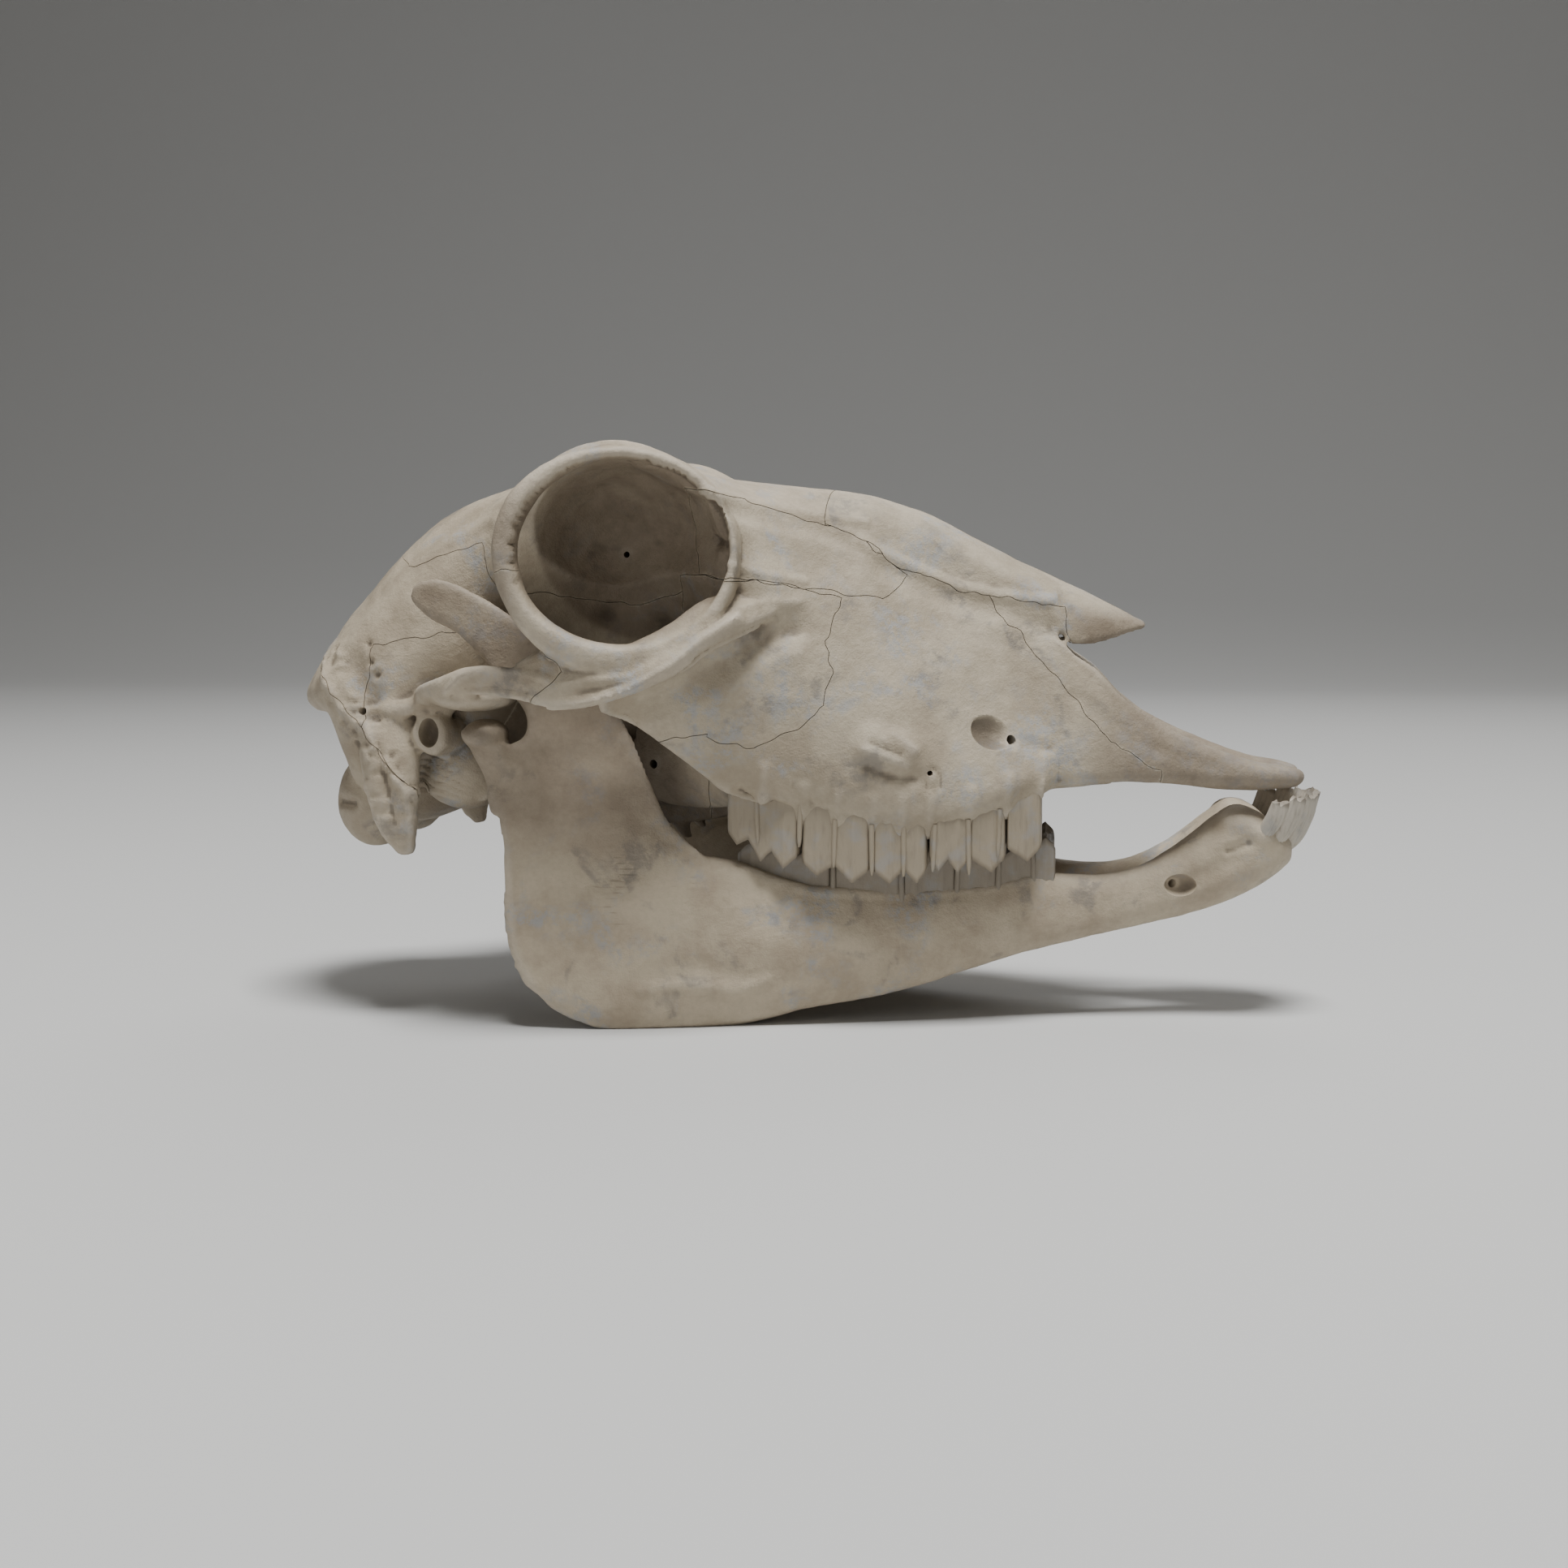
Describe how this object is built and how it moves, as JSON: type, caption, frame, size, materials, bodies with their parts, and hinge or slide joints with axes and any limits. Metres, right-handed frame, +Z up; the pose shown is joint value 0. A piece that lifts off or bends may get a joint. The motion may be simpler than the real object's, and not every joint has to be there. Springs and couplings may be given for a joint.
{
  "type": "sheep skull",
  "caption": "Hornless sheep skull with its lower jaw and teeth, in separate bones along the sutures, resting on the jaw's lower edges as a still display model.",
  "frame": {"origin": "middle of the skull's length and width, on the level of the lower jaw's resting flats", "axes": "+X towards the nose, +Y towards the animal's left side, +Z up as it rests on the lower jaw"},
  "size_m": [0.232, 0.1166, 0.1254],
  "materials": {
    "braincase_bone": "weathered dry bone, matt, warm grey with blue-grey and brown stains",
    "face_bone": "weathered dry bone, matt, warm grey, with paler teeth",
    "jaw_bone": "weathered dry bone, a little smoother, with paler teeth"
  },
  "bodies": {
    "root": {"frontal_right": "braincase_bone", "frontal_left": "braincase_bone", "parietal": "braincase_bone", "occipital": "braincase_bone", "temporal_right": "braincase_bone", "temporal_left": "braincase_bone", "sphenoid": "braincase_bone", "nasal_right": "face_bone", "nasal_left": "face_bone", "premaxilla_right": "face_bone", "premaxilla_left": "face_bone", "maxilla_right": "face_bone", "maxilla_left": "face_bone", "lacrimal_right": "face_bone", "lacrimal_left": "face_bone", "zygomatic_right": "face_bone", "zygomatic_left": "face_bone", "mandible_right": "jaw_bone", "mandible_left": "jaw_bone"}
  },
  "joints": []
}
